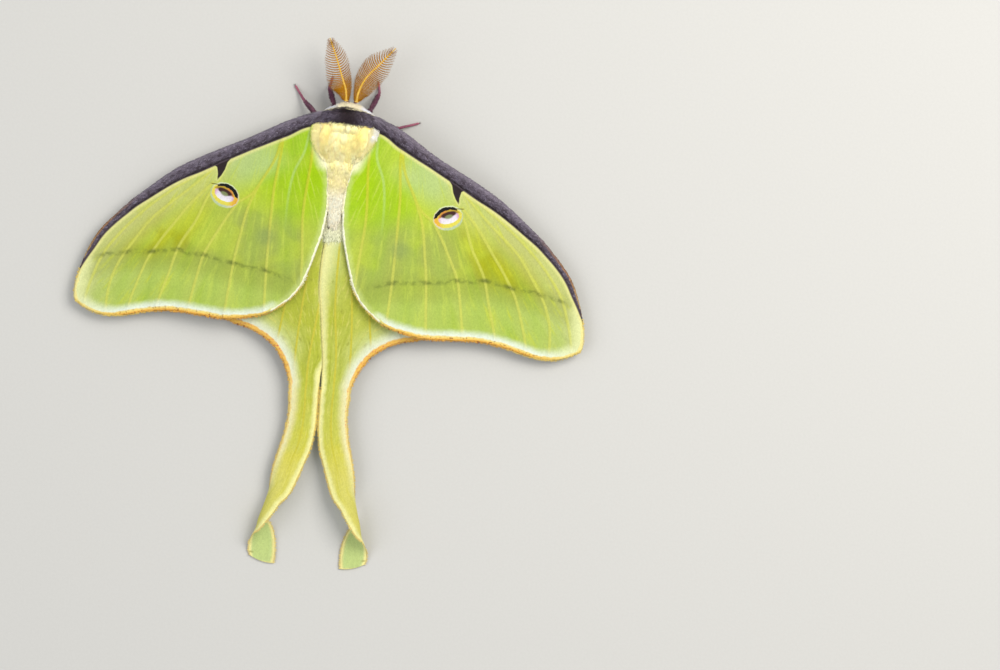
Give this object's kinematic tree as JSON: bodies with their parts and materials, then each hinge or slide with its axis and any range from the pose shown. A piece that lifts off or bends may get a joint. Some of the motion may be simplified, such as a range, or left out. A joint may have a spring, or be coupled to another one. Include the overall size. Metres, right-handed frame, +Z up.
{
  "type": "moth",
  "caption": "Life-size model of a long-tailed green silk moth, wings spread flat, with feathered feelers, eyespots, a dark leading edge and twisted tails, resting on its feet and tail ends.",
  "frame": {"origin": "on the floor under the middle of the whole moth", "axes": "+Y towards the head, along the body, which is the longest way; +X towards the moth's right wing; +Z up through its back"},
  "size_m": [0.0852, 0.0878, 0.0093],
  "materials": {
    "yellow_hair": "woolly pale yellow hair",
    "white_hair": "woolly cream-white hair",
    "collar_hair": "dark purple-brown hair",
    "eye": "dark and glossy",
    "leg": "purple, with short hair",
    "tarsus": "purple to pink",
    "antenna": "golden brown",
    "forewing": "matte lime green scales with yellow veins",
    "hindwing": "matte yellow-green scales",
    "tail": "matte yellow-green scales with cream edges",
    "costa": "matte slate-purple scales"
  },
  "bodies": {
    "root": {"thorax": "yellow_hair", "collar": "collar_hair", "ruff": "white_hair", "head": "white_hair", "abdomen": "white_hair", "eye_left": "eye", "palp_left": "leg", "antenna_left": "antenna", "tegula_left": "yellow_hair", "forewing_left": "forewing", "costa_left": "costa", "hindwing_left": "hindwing", "tail_left": "tail", "tail_tip_left": "tail", "foreleg_left_femur": "leg", "foreleg_left_tibia": "leg", "foreleg_left_tarsus": "tarsus", "midleg_left_femur": "leg", "midleg_left_tibia": "leg", "midleg_left_tarsus": "tarsus", "hindleg_left_femur": "leg", "hindleg_left_tibia": "leg", "hindleg_left_tarsus": "tarsus", "eye_right": "eye", "palp_right": "leg", "antenna_right": "antenna", "tegula_right": "yellow_hair", "forewing_right": "forewing", "costa_right": "costa", "hindwing_right": "hindwing", "tail_right": "tail", "tail_tip_right": "tail", "foreleg_right_femur": "leg", "foreleg_right_tibia": "leg", "foreleg_right_tarsus": "tarsus", "midleg_right_femur": "leg", "midleg_right_tibia": "leg", "midleg_right_tarsus": "tarsus", "hindleg_right_femur": "leg", "hindleg_right_tibia": "leg", "hindleg_right_tarsus": "tarsus"}
  },
  "joints": []
}
